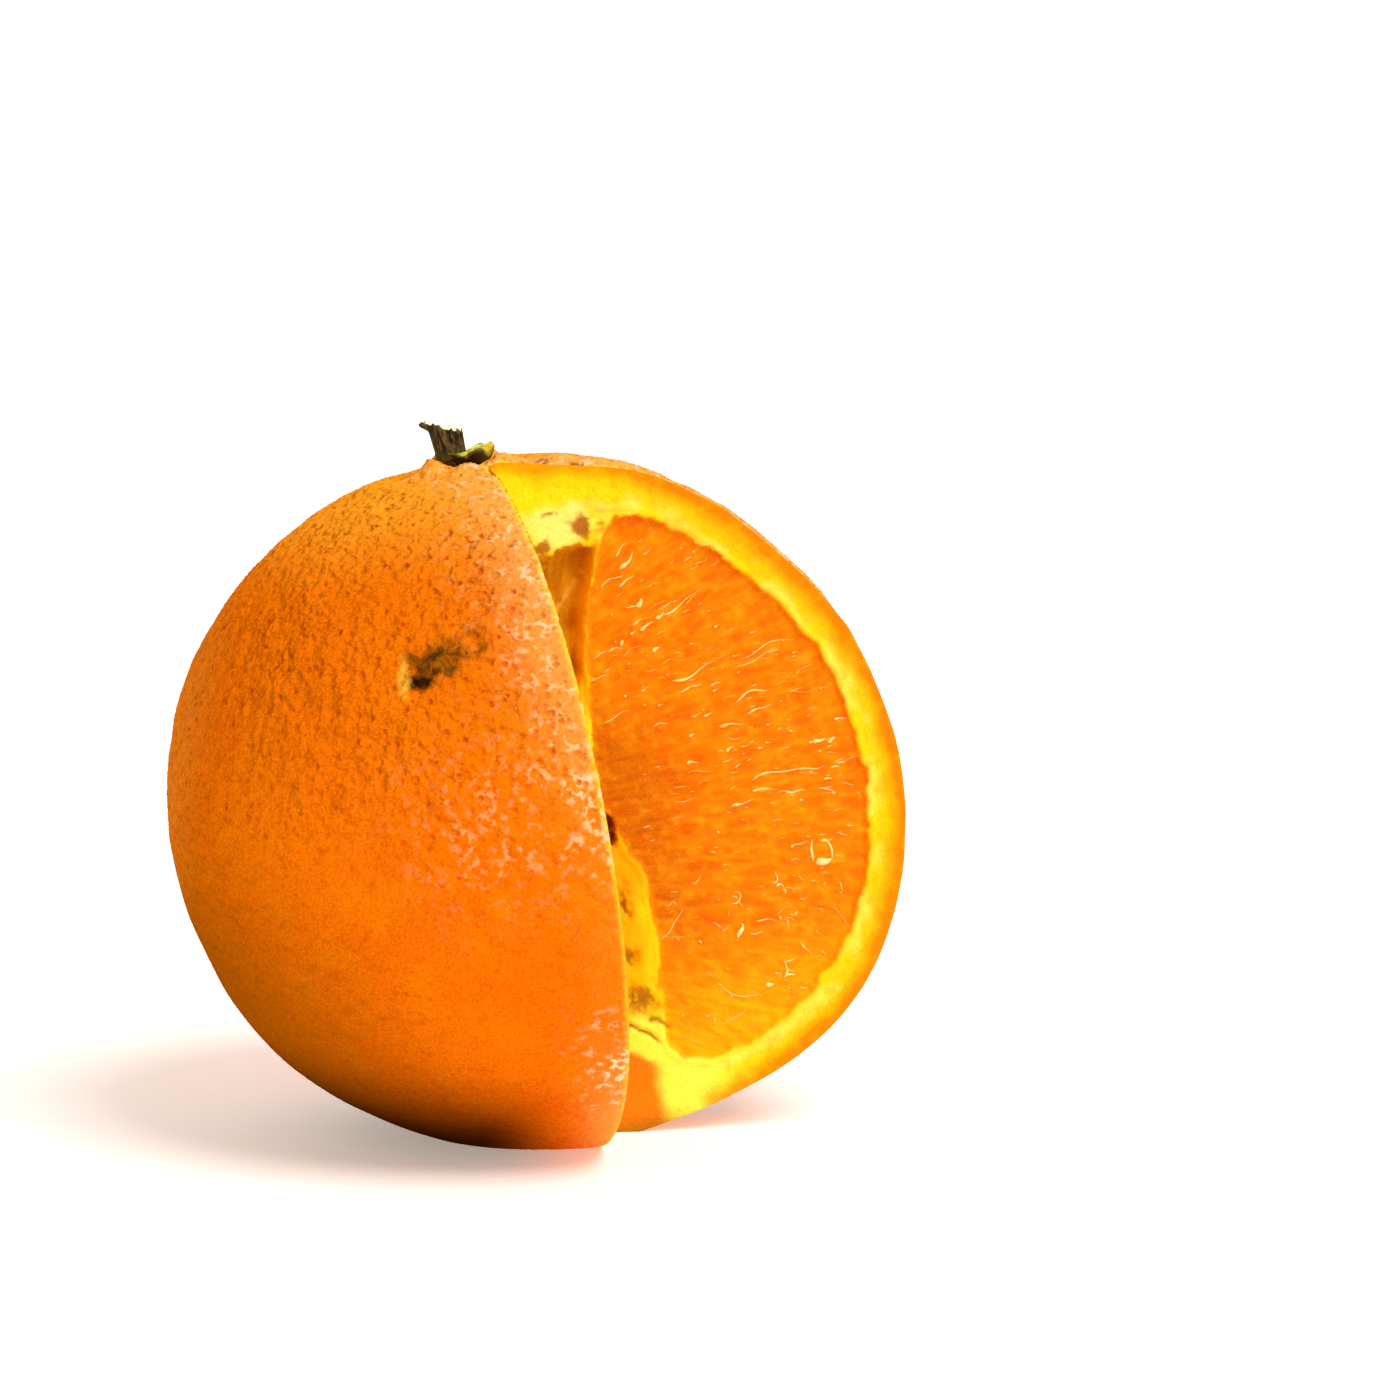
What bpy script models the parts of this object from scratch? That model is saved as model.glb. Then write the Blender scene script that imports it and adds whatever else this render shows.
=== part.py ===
"""An upright orange with one wedge cut out of it, its calyx and its stem stub.

World axes: +Z up, +X across the open side of the notch, +Y away from it.
The origin is the middle of the small flat spot that the fruit rests on.
Lengths are written in millimetres and scaled to metres where they are used.
"""
import math

import bmesh
import bpy
from mathutils import Vector

MM = 0.001

# Whole fruit: a slightly flattened ball whose stem axis leans to the left
RADIUS = 40.2
STEM_END_FLATTENING = 0.015
BLOSSOM_END_FLATTENING = 0.07
BACK_BULGE = 0.03
LOW_RIGHT_BULGE = 0.024
LEAN_LEFT = math.radians(11.0)
LEAN_FORWARD = math.radians(1.0)
CENTRE_HEIGHT = 35.6
CENTRE_RIGHT = 0.0
CENTRE_BACK = -1.3
SEGMENTS = 76
RINGS = 46
POLE_CROWDING = 0.11

# Uneven spots on the skin: polar angle, azimuth, height, width
SPOTS = (
    (131.0, -5.0, 0.6, 10.0),
    (161.0, -10.0, -0.5, 9.0),
    (30.0, -10.0, 0.4, 8.0),
    (54.0, -5.0, -0.4, 8.0),
    (99.0, -162.0, -0.5, 8.0),
    (56.0, -102.0, -0.5, 2.6),
)

# Knobbly collar of rind around the stem
COLLAR_HEIGHT = 1.2
COLLAR_RADIUS = 4.0
COLLAR_WIDTH = 1.2
COLLAR_LOBES = 5
COLLAR_TURN = math.radians(-84.0)
MOAT_DEPTH = 0.7
MOAT_RADIUS = 7.2
MOAT_WIDTH = 2.0
DIMPLE_DEPTH = 0.9
DIMPLE_WIDTH = 2.4

# Notch: two knife cuts that meet close to the stem axis
FAR_CUT_AZIMUTH = math.radians(6.0)
FAR_CUT_OFFSET = 2.5
NEAR_CUT_AZIMUTH = math.radians(14.0)
NEAR_CUT_OFFSET = -0.5
NEAR_CUT_SLANT = -0.044

# Pulp on the cut faces, set a little lower than the pith and the rind
PEEL_THICKNESS = 4.0
PEEL_EXTRA_AT_ENDS = 1.4
PITH_WIDTH = 8.7
PITH_EXTRA_BELOW = 1.0
PITH_EXTRA_ABOVE = 3.8
CORNER_ROUNDING = 5.5
PULP_MIDDLE = (21.0, -1.0)
PULP_DEPTH = 0.5
PULP_OUTLINE_POINTS = 60

# Empty pocket beside the core, and a small hole lower down the core
POCKET_MIDDLE = (6.0, 20.3)
POCKET_HALF_SIZE = (3.6, 9.4, 7.0)
POCKET_TILT = math.radians(9.0)
HOLE_MIDDLE = (7.2, -3.2)
HOLE_HALF_SIZE = (0.9, 2.2, 2.4)
HOLE_TILT = math.radians(-8.0)

# Calyx: a thin wavy disc with its right lobe curled up
CALYX_CENTRE = (0.7, 0.4, 40.1)
CALYX_RADIUS = 2.6
CALYX_LOBE = 0.4
CALYX_HALF_THICKNESS = 0.35
CALYX_LOBES = 5
CALYX_LIFT = 1.1
CALYX_SPOUT = 0.5

# Stem stub: short, flared, cut off at a slant
STEM_FOOT = (-1.5, 0.3, 40.85)
STEM_HEIGHT = 2.6
STEM_FOOT_RADIUS = 1.7
STEM_TOP_RADIUS = 1.95
STEM_LEAN = math.radians(-3.0)
STEM_TOP_SLANT = 0.5
STEM_SIDES = 24
STEM_RIBS = 8
STEM_RIB_DEPTH = 0.06

REACH = 60.0


def clear_scene():
    for leftover in list(bpy.data.objects):
        bpy.data.objects.remove(leftover, do_unlink=True)


def new_collection(name):
    collection = bpy.data.collections.new(name)
    bpy.context.scene.collection.children.link(collection)
    return collection


def plain_material(name, colour, roughness):
    material = bpy.data.materials.new(name)
    material.use_nodes = True
    shader = material.node_tree.nodes["Principled BSDF"]
    shader.inputs["Base Color"].default_value = (*colour, 1.0)
    shader.inputs["Roughness"].default_value = roughness
    shader.inputs["Metallic"].default_value = 0.0
    return material


def mesh_object(name, sculpt, collection, parent):
    """A new object whose mesh is filled by the function sculpt."""
    mesh = bpy.data.meshes.new(name)
    shape = bmesh.new()
    sculpt(shape)
    bmesh.ops.recalc_face_normals(shape, faces=shape.faces)
    if shape.calc_volume(signed=True) < 0.0:
        bmesh.ops.reverse_faces(shape, faces=shape.faces)
    shape.to_mesh(mesh)
    shape.free()
    thing = bpy.data.objects.new(name, mesh)
    collection.objects.link(thing)
    thing.parent = parent
    return thing


def bell(distance, width):
    return math.exp(-(distance / width) ** 2)


def direction(polar, azimuth):
    across = math.sin(polar)
    return Vector((across * math.cos(azimuth), across * math.sin(azimuth), math.cos(polar)))


def collar_height(from_axis, azimuth):
    """Lobed ring of rind round the stem, with a dimple in it and a moat outside."""
    waves = 0.6 + 0.4 * math.cos(COLLAR_LOBES * (azimuth - COLLAR_TURN))
    ring = COLLAR_HEIGHT * waves * bell(from_axis - COLLAR_RADIUS, COLLAR_WIDTH)
    moat = MOAT_DEPTH * bell(from_axis - MOAT_RADIUS, MOAT_WIDTH)
    dimple = DIMPLE_DEPTH * bell(from_axis, DIMPLE_WIDTH)
    return ring - moat - dimple


def skin_radius(polar, azimuth):
    """Distance in mm from the fruit's middle to its skin in a direction."""
    up = math.cos(polar)
    across = math.sin(polar)
    stretch = 1.0 - STEM_END_FLATTENING * max(up, 0.0) ** 3
    stretch -= BLOSSOM_END_FLATTENING * max(-up, 0.0) ** 3
    stretch += BACK_BULGE * across * math.sin(azimuth)
    stretch -= 2.0 * LOW_RIGHT_BULGE * across * math.cos(azimuth) * up
    radius = RADIUS * stretch
    here = direction(polar, azimuth)
    for spot_polar, spot_azimuth, height, width in SPOTS:
        there = direction(math.radians(spot_polar), math.radians(spot_azimuth))
        radius += height * bell(RADIUS * (here - there).length, width)
    if up > 0.8:
        radius += collar_height(RADIUS * across, azimuth)
    return radius


def whole_fruit(shape):
    """A ball with its rings crowded towards both ends, moved out to the skin."""
    bmesh.ops.create_uvsphere(shape, u_segments=SEGMENTS, v_segments=RINGS, radius=1.0)
    for vertex in shape.verts:
        even = math.acos(max(-1.0, min(1.0, vertex.co.z)))
        polar = even - math.pi * POLE_CROWDING * math.sin(2.0 * even)
        azimuth = math.atan2(vertex.co.y, vertex.co.x)
        if math.sin(polar) < 1e-4:
            azimuth = 0.0
        vertex.co = direction(polar, azimuth) * skin_radius(polar, azimuth) * MM


def far_cut():
    """Facing direction of the far cut, and its distance from the stem axis."""
    facing = Vector((math.sin(FAR_CUT_AZIMUTH), -math.cos(FAR_CUT_AZIMUTH), 0.0))
    return facing, FAR_CUT_OFFSET


def near_cut():
    facing = Vector((math.cos(NEAR_CUT_AZIMUTH), math.sin(NEAR_CUT_AZIMUTH), NEAR_CUT_SLANT))
    return facing.normalized(), NEAR_CUT_OFFSET


def wedge(shape):
    """A big block cut back to the space between the two knife cuts."""
    bmesh.ops.create_cube(shape, size=2.0 * REACH * MM)
    for facing, offset in (far_cut(), near_cut()):
        geometry = shape.verts[:] + shape.edges[:] + shape.faces[:]
        bmesh.ops.bisect_plane(shape, geom=geometry, plane_co=facing * offset * MM,
                               plane_no=facing, clear_inner=True)
        rim = [edge for edge in shape.edges if edge.is_boundary]
        bmesh.ops.contextual_create(shape, geom=rim)


def soft_step(value):
    value = max(0.0, min(1.0, value))
    return value * value * (3.0 - 2.0 * value)


def pulp_margin(along, up):
    """How far in mm a point of a cut face lies inside the pulp."""
    polar = math.atan2(along, up)
    peel = PEEL_THICKNESS + PEEL_EXTRA_AT_ENDS * math.cos(polar) ** 4
    from_peel = skin_radius(polar, 0.0) - peel - math.hypot(along, up)
    pith = PITH_WIDTH + PITH_EXTRA_BELOW * soft_step((-3.0 - up) / 5.0)
    pith += PITH_EXTRA_ABOVE * soft_step((up - 15.0) / 14.0)
    from_pith = along - pith
    if from_peel > CORNER_ROUNDING or from_pith > CORNER_ROUNDING:
        return min(from_peel, from_pith)
    corner = math.hypot(CORNER_ROUNDING - from_peel, CORNER_ROUNDING - from_pith)
    return CORNER_ROUNDING - corner


def pulp_outline():
    """Outline of the pulp on a cut face, found by walking out from its middle."""
    outline = []
    for step in range(PULP_OUTLINE_POINTS):
        angle = 2.0 * math.pi * step / PULP_OUTLINE_POINTS
        inside = 0.0
        outside = 2.0 * RADIUS
        for _ in range(30):
            reach = 0.5 * (inside + outside)
            along = PULP_MIDDLE[0] + reach * math.cos(angle)
            up = PULP_MIDDLE[1] + reach * math.sin(angle)
            if pulp_margin(along, up) > 0.0:
                inside = reach
            else:
                outside = reach
        outline.append((PULP_MIDDLE[0] + inside * math.cos(angle),
                        PULP_MIDDLE[1] + inside * math.sin(angle)))
    return outline


def face_frame(cut, outward):
    """Origin, outward and upward directions on a cut face, and its facing."""
    facing, offset = cut
    sideways = (outward - facing * outward.dot(facing)).normalized()
    upward = facing.cross(sideways)
    if upward.z < 0.0:
        upward.negate()
    return facing * offset, sideways, upward, facing


def far_face():
    outward = Vector((math.cos(FAR_CUT_AZIMUTH), math.sin(FAR_CUT_AZIMUTH), 0.0))
    return face_frame(far_cut(), outward)


def near_face():
    outward = Vector((math.sin(NEAR_CUT_AZIMUTH), -math.cos(NEAR_CUT_AZIMUTH), 0.0))
    return face_frame(near_cut(), outward)


def pulp_recess(shape, frame):
    """A slab with the pulp's outline that sinks PULP_DEPTH into a cut face."""
    origin, sideways, upward, facing = frame
    rings = []
    for depth in (-PULP_DEPTH, PULP_DEPTH):
        ring = []
        for along, up in pulp_outline():
            point = origin + sideways * along + upward * up + facing * depth
            ring.append(shape.verts.new(point * MM))
        rings.append(ring)
    low_cap = shape.faces.new(rings[0])
    low_cap.normal_flip()
    shape.faces.new(rings[1])
    bmesh.ops.bridge_loops(shape, edges=[e for e in shape.edges if e.is_boundary])


def hollow(shape, frame, middle, half_size, tilt):
    """An egg-shaped hollow that opens on a cut face."""
    origin, sideways, upward, facing = frame
    bmesh.ops.create_uvsphere(shape, u_segments=24, v_segments=14, radius=1.0)
    for vertex in shape.verts:
        along = vertex.co.x * half_size[0]
        up = vertex.co.z * half_size[1]
        deep = vertex.co.y * half_size[2]
        turned_along = along * math.cos(tilt) + up * math.sin(tilt)
        turned_up = up * math.cos(tilt) - along * math.sin(tilt)
        point = origin + sideways * (middle[0] + turned_along)
        point += upward * (middle[1] + turned_up) + facing * deep
        vertex.co = point * MM


def floor_block(shape):
    bmesh.ops.create_cube(shape, size=2.0 * REACH * MM)
    bmesh.ops.translate(shape, verts=shape.verts, vec=(0.0, 0.0, -REACH * MM))


def cut_away(target, cutter):
    modifier = target.modifiers.new("cut_" + cutter.name, "BOOLEAN")
    modifier.operation = "DIFFERENCE"
    modifier.object = cutter
    modifier.solver = "EXACT"


def make_cutter(name, sculpt, collection, parent):
    cutter = mesh_object(name, sculpt, collection, parent)
    cutter.display_type = "WIRE"
    cutter.hide_render = True
    return cutter


def smooth_sides(thing, angle):
    thing.data.shade_smooth()
    thing.data.set_sharp_from_angle(angle=math.radians(angle))


def calyx(shape):
    """A flat wavy disc; the lobe on the right lifts into a small spout."""
    bmesh.ops.create_uvsphere(shape, u_segments=30, v_segments=12, radius=1.0)
    for vertex in shape.verts:
        out = math.hypot(vertex.co.x, vertex.co.y)
        azimuth = math.atan2(vertex.co.y, vertex.co.x)
        lobe = math.cos(CALYX_LOBES * azimuth)
        reach = CALYX_RADIUS + CALYX_LOBE * lobe
        lift = CALYX_LIFT * out ** 3 * (0.25 + 0.25 * lobe)
        lift += CALYX_SPOUT * out ** 3 * bell(azimuth, 0.5)
        height = CALYX_HALF_THICKNESS * vertex.co.z + lift
        vertex.co = Vector((reach * vertex.co.x, reach * vertex.co.y, height)) * MM


def stem(shape):
    """A ribbed, flared stub with a slanting top."""
    bmesh.ops.create_cone(shape, cap_ends=True, segments=STEM_SIDES, radius1=1.0,
                          radius2=1.0, depth=1.0)
    sides = [edge for edge in shape.edges if abs(edge.verts[0].co.z - edge.verts[1].co.z) > 0.5]
    bmesh.ops.subdivide_edges(shape, edges=sides, cuts=5, use_grid_fill=True)
    for vertex in shape.verts:
        climb = vertex.co.z + 0.5
        azimuth = math.atan2(vertex.co.y, vertex.co.x)
        radius = STEM_FOOT_RADIUS + (STEM_TOP_RADIUS - STEM_FOOT_RADIUS) * climb ** 1.5
        radius += STEM_RIB_DEPTH * math.cos(STEM_RIBS * azimuth)
        across = radius * math.cos(azimuth)
        deep = radius * math.sin(azimuth)
        height = climb * (STEM_HEIGHT - STEM_TOP_SLANT * across)
        vertex.co = Vector((across, deep, height)) * MM


def build():
    clear_scene()
    parts = new_collection("cut_orange")
    cutters = new_collection("cutters")
    lean = bpy.data.objects.new("stem_axis", None)
    parts.objects.link(lean)
    lean.location = Vector((CENTRE_RIGHT, CENTRE_BACK, CENTRE_HEIGHT)) * MM
    lean.rotation_euler = (LEAN_FORWARD, -LEAN_LEFT, 0.0)

    fruit = mesh_object("orange", whole_fruit, parts, lean)
    fruit.data.materials.append(plain_material("rind", (0.9, 0.28, 0.01), 0.45))
    smooth_sides(fruit, 40.0)
    cut_away(fruit, make_cutter("wedge", wedge, cutters, lean))
    cut_away(fruit, make_cutter("floor", floor_block, cutters, None))
    cut_away(fruit, make_cutter(
        "far_pulp", lambda shape: pulp_recess(shape, far_face()), cutters, lean))
    cut_away(fruit, make_cutter(
        "near_pulp", lambda shape: pulp_recess(shape, near_face()), cutters, lean))
    cut_away(fruit, make_cutter(
        "pocket",
        lambda shape: hollow(shape, far_face(), POCKET_MIDDLE, POCKET_HALF_SIZE, POCKET_TILT),
        cutters, lean))
    cut_away(fruit, make_cutter(
        "core_hole",
        lambda shape: hollow(shape, far_face(), HOLE_MIDDLE, HOLE_HALF_SIZE, HOLE_TILT),
        cutters, lean))

    leaf = mesh_object("calyx", calyx, parts, lean)
    leaf.location = Vector(CALYX_CENTRE) * MM
    leaf.data.materials.append(plain_material("calyx", (0.3, 0.32, 0.04), 0.6))
    smooth_sides(leaf, 50.0)

    stub = mesh_object("stem", stem, parts, lean)
    stub.location = Vector(STEM_FOOT) * MM
    stub.rotation_euler = (0.0, STEM_LEAN, 0.0)
    stub.data.materials.append(plain_material("stem", (0.12, 0.1, 0.05), 0.8))
    smooth_sides(stub, 40.0)


build()
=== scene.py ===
"""Looks of the cut orange: pitted rind, cut faces, juice threads, calyx and stem stub.

Everything is computed in millimetres in the fruit's own frame, where +Z is the
stem axis, and is then leaned over and set down in the part's frame in metres.
"""

import math

import bmesh
import bpy
import numpy as np
from mathutils import Euler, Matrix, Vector, geometry


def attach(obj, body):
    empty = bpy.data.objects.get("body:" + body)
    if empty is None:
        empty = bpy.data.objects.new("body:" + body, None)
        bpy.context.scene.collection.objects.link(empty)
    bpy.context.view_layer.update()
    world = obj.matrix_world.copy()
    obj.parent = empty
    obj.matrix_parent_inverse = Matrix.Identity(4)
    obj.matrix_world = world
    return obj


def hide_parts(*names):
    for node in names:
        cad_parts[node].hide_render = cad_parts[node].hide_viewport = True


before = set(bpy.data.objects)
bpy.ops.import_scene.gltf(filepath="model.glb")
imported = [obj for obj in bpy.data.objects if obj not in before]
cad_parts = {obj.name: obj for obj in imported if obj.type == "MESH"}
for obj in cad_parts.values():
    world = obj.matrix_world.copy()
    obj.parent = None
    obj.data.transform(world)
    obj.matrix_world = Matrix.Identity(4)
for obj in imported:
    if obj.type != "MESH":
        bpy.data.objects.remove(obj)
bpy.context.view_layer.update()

MM = 0.001
OUT_OF_REACH = 99.0

# Whole fruit, the same form as the solid it stands for
RADIUS = 40.2
STEM_END_FLATTENING = 0.015
BLOSSOM_END_FLATTENING = 0.07
BACK_BULGE = 0.03
LOW_RIGHT_BULGE = 0.024
LEAN_LEFT = math.radians(11.0)
LEAN_FORWARD = math.radians(1.0)
CENTRE = np.array([0.0, -1.3, 35.6])

# Swells and dents: polar and azimuth in degrees, height and width in mm
SPOTS = (
    (131.0, -5.0, 0.6, 10.0),
    (161.0, -10.0, -0.5, 9.0),
    (30.0, -10.0, 0.4, 8.0),
    (54.0, -5.0, -0.4, 8.0),
    (99.0, -162.0, -0.5, 8.0),
    (56.0, -102.0, -0.5, 2.6),
)

# Collar round the stem, with the moat about it and the dimple in it
COLLAR_HEIGHT = 1.2
COLLAR_RADIUS = 4.0
COLLAR_WIDTH = 1.2
COLLAR_LOBES = 5
COLLAR_TURN = math.radians(-84.0)
COLLAR_LOW_SIDE = math.radians(-49.0)
COLLAR_SAG = 0.72
MOAT_DEPTH = 0.7
MOAT_RADIUS = 7.2
MOAT_WIDTH = 2.0
DIMPLE_DEPTH = 0.9
DIMPLE_WIDTH = 2.4

# Knife cuts
FAR_CUT_AZIMUTH = math.radians(6.0)
FAR_CUT_OFFSET = 2.5
NEAR_CUT_AZIMUTH = math.radians(14.0)
NEAR_CUT_OFFSET = -0.5
NEAR_CUT_SLANT = -0.044
CUT_SNAP = 0.02

# Pulp outline on the cut faces
PEEL_THICKNESS = 4.0
PEEL_EXTRA_AT_ENDS = 1.4
PULP_INNER_EDGE = (
    (-31.0, 9.3), (-22.0, 9.3), (-16.0, 10.0), (-9.0, 10.2), (-5.5, 8.7), (-2.5, 7.1),
    (5.0, 6.9), (11.0, 8.0), (17.0, 8.8), (22.0, 9.9), (28.0, 12.7),
)
CORNER_ROUNDING = 4.5
PULP_DEPTH = 0.5

# Rind surface
PORE_COUNT = 19000
PORE_JITTER = 0.2
PORE_DEPTH = 0.16
RIDGE_SHARE = 0.25
PEAK_HEIGHT = 0.05
PEBBLE_HEIGHT = 0.18
TOP_RIM_SINK = 0.95
TOP_RIM_WIDTH = 0.9
SWELL_HEIGHT = 0.15

# Sizes in the rind's and the flesh's shaders
RIND_GRAIN = 0.26
DIMPLE_SPACING = 1.2
DIMPLE_GROUP = 1.7
PEBBLE_SIZE = 1.0
SWELL_SIZE = 2.2
SPECK_SIZE = 0.85
SPECK_GROUP = 2.4
FLESH_GRAIN = 0.25

# Cut face mesh
FAR_FACE_GRID = 0.27
NEAR_FACE_GRID = 0.4
FAR_SEED = 101
NEAR_SEED = 201
ROW_STEP = 0.866
FACE_HEIGHTS = (-41.0, 41.0)
FACE_REACHES = (-3.0, 43.0)
APEX_STEP = 0.4
CORE_MIDDLE = (6.9, 0.2)
FAN_CENTRE = (-40.0, 0.0)

# Streaks of the pulp per radian of the fan, and their length in mm
STREAKS_ACROSS = 110.0
STREAK_LENGTH = 3.4

# Juice sacs in rings about the middle of the fan
FAN_HALF_ANGLE = 0.8
SAC_NEAREST = 42.0
SAC_FARTHEST = 84.0
SAC_RING_STEP = 4.2
SAC_LENGTH = 4.6
SAC_WIDTH = 1.9

# Pocket and hole
POCKET_CORNERS = ((12.4, 28.6), (3.2, 28.2), (6.6, 10.4))
POCKET_RAGGED = (1.8, 0.3, 0.3)
POCKET_DEPTH = 3.6
POCKET_WALL = 2.0
HOLE_MIDDLE = (7.2, -3.2)
HOLE_HALF_SIZE = (0.7, 2.0, 2.0)
HOLE_TILT = math.radians(-8.0)

# Directions in the part's frame of the rind's painted shade and its pale painted rim light
SHADED_SIDE = (-0.71, -0.1, -0.70)
LEFT_RIM_LIGHT = (-0.98, 0.0, 0.2)

# Places on the skin, as polar and azimuth in degrees: the scar and two patches of sheen
SCAR = (55.4, -100.7)
LOW_SHEEN = (128.0, -80.5)
MIDDLE_SHEEN = (82.0, -96.0)

# Brown marks behind the top rim: polar and azimuth in degrees, size in mm
TOP_MARKS = ((14.0, -9.0, 1.2), (12.6, -5.0, 0.9), (9.3, -17.0, 0.8), (17.5, -7.0, 0.6))

# Brown marks on the pith: along, up, half width and half height
CORE_STAINS = ((7.3, -12.1, 1.0, 2.1), (6.5, -17.7, 1.0, 1.3), (6.9, -22.6, 2.3, 1.9))
PITH_PITS = ((10.8, 30.2, 1.0, 1.2), (5.9, 28.5, 1.0, 0.7), (7.4, 32.1, 0.8, 0.2))

# Folds at the foot of the core: along, up and slope
CORE_CREASES = ((5.2, -25.2, 0.3), (7.0, -26.5, 0.8), (8.4, -25.3, 0.6))

# Juice threads on the pulp. The placed ones stand out on the far face:
# along, up, angle in degrees, length, width, head and bend in radians
THREAD_COUNT = 330
THREAD_REACHES = (9.0, 37.0)
THREAD_HEIGHTS = (-31.0, 30.0)
PLACED_THREADS = (
    (28.75, -10.2, 82, 2.5, 0.34, 0, 0.2),
    (30.75, -10.4, 100, 2.5, 0.3, 0, 0.3),
    (29.8, -11.7, 0, 1.9, 0.85, 0.2, 0.4),
    (14.9, 25.3, 40, 2.6, 0.3, 0.3, 0.5),
    (14.4, 23.2, 25, 2.1, 0.2, 0.1, 0.2),
    (15.4, 20.5, 60, 1.1, 0.5, 0.3, 0.3),
    (14.6, 20.3, -8, 2, 0.12, 0, 0.8),
    (19.9, 19.6, 22, 5.2, 0.12, 0.2, 0.5),
    (15.6, 17.9, 22, 1.9, 0.26, 0.3, 0.2),
    (17.3, 18.7, 25, 1.2, 0.24, 0.3, 0.2),
    (16.1, 15.2, 15, 0.9, 0.4, 0.2, 0),
    (12.6, 16.6, 50, 0.7, 0.4, 0.1, 0),
    (19.7, 11.8, 14, 5.2, 0.18, 0.2, 0.5),
    (19, 10.2, 8, 2.6, 0.2, 0, 0.2),
    (28, 12.9, 12, 6.5, 0.12, 0, -0.4),
    (26.6, 11.9, 16, 5.4, 0.1, 0, -0.2),
    (25.4, 8.2, 12, 4, 0.2, 0.1, -0.9),
    (26, 6.4, 10, 3, 0.14, 0.1, 0.2),
    (31.8, 1.6, 5, 1.6, 0.36, 0.2, 0.3),
    (33.2, 1.4, 25, 1, 0.4, 0.1, 0),
    (27, -1, 3, 7, 0.16, 0.1, -0.9),
    (24.6, -2.4, -4, 2.2, 0.2, 0.1, 0.3),
    (28.2, -3.4, -8, 2.4, 0.18, 0.1, 0.3),
    (19.6, -13.7, 60, 2.6, 0.14, 0.1, 4.4),
    (19.3, -17.4, 55, 1.7, 0.5, 0.1, 0),
    (21, -18, -10, 1.5, 0.12, 0, 1.6),
    (23.4, -22.6, 75, 2.2, 0.18, 0.2, 1),
    (24, -21.8, 10, 1.5, 0.14, 0, 0.6),
    (24.2, -12.4, 60, 1.8, 0.18, 0.1, 2.4),
    (12, -15.2, 38, 4.6, 0.12, 0, 0.9),
    (18, -24.3, -24, 5.2, 0.1, 0, 0.4),
    (17, -26.6, 24, 4, 0.08, 0, 0.6),
    (21.3, -24, 0, 0.9, 0.5, 0.2, 0),
)

# Calyx and stem
CALYX_CENTRE = (0.7, 0.4, 40.1)
CALYX_RADIUS = 2.6
CALYX_LOBE = 0.4
CALYX_HALF_THICKNESS = 0.35
CALYX_LOBES = 5
CALYX_LIFT = 1.1
CALYX_SPOUT = -0.4
CALYX_UNDERSIDE = 1.8
CURL_THICKNESS = 0.95
STEM_FOOT = (-1.5, 0.3, 40.0)
STEM_HEIGHT = 3.45
STEM_FOOT_RADIUS = 1.65
STEM_TOP_RADIUS = 1.8
STEM_LEAN = math.radians(-3.0)
STEM_TOP_SLANT = 0.5

# Camera: far off and slightly above, with the fruit left of the middle
CAMERA_AIM = Vector((17.9, -1.3, 47.9))
CAMERA_DISTANCE = 600.0
CAMERA_DROP = math.radians(7.5)
FRAME_PIXELS = 1400.0
PIXELS_PER_MM = 9.13
SENSOR_WIDTH = 36.0

# Light: one above right, a soft one from the camera's side, and an even room
KEY_DIRECTION = (0.42, -0.4, 0.82)
KEY_STRENGTH = 2.7
KEY_SOFTNESS = math.radians(34.0)
FILL_DIRECTION = (-0.15, -0.78, 0.6)
FILL_STRENGTH = 0.25
FILL_SOFTNESS = math.radians(60.0)
ROOM_LIGHT = 0.38
FLOOR_GLOW = 0.37
ROOM_COLOUR = (1.0, 0.9, 0.8, 1.0)
FLOOR_GLOW_COLOUR = (1.0, 0.84, 0.7, 1.0)
FLOOR_WHITE = (0.8, 0.8, 0.8, 1.0)
STAGE_REACH = 3.0
BACKDROP_AWAY = 2.9


# Numbers and noise

def bell(distance, width):
    return np.exp(-(distance / width) ** 2)


def soft_step(value):
    value = np.clip(value, 0.0, 1.0)
    return value * value * (3.0 - 2.0 * value)


def ramp(value, start, end):
    """0 below start, 1 above end, smooth between."""
    return soft_step((value - start) / (end - start))


def noise(points, cell, seed):
    """Smooth random values from -1 to 1, with bumps about cell apart."""
    table = np.random.default_rng(seed).uniform(-1.0, 1.0, (32, 32, 32))
    if points.shape[1] == 2:
        points = np.column_stack([points, np.zeros(len(points))])
    scaled = points / cell
    base = np.floor(scaled).astype(int)
    part = soft_step(scaled - base)
    total = np.zeros(len(points))
    for corner in np.ndindex(2, 2, 2):
        index = (base + np.array(corner)) % 32
        weight = np.prod(np.where(np.array(corner) == 1, part, 1.0 - part), axis=1)
        total += weight * table[index[:, 0], index[:, 1], index[:, 2]]
    return total


def layered_noise(points, cell, seed, layers=3):
    total = np.zeros(len(points))
    for layer in range(layers):
        total += noise(points, cell / 2.0 ** layer, seed + layer) / 2.0 ** layer
    return total


def shade(red, green, blue):
    """A colour written as it looks on screen, 0 to 255, made linear."""
    screen = np.array([red, green, blue]) / 255.0
    return np.where(screen < 0.04045, screen / 12.92, ((screen + 0.055) / 1.055) ** 2.4)


def mix(under, over, amount):
    """Colours under with over laid on, by an amount for each point.

    over is one screen colour, or a linear colour for each point.
    """
    if isinstance(over, tuple):
        over = shade(*over)
    amount = np.clip(amount, 0.0, 1.0)[:, None]
    return under * (1.0 - amount) + over * amount


def plain(colour, count):
    """One screen colour for all points."""
    return np.tile(shade(*colour), (count, 1))


def pair(first, second):
    """Points with two coordinates."""
    return np.column_stack([first, second])


# Form of the fruit

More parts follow.
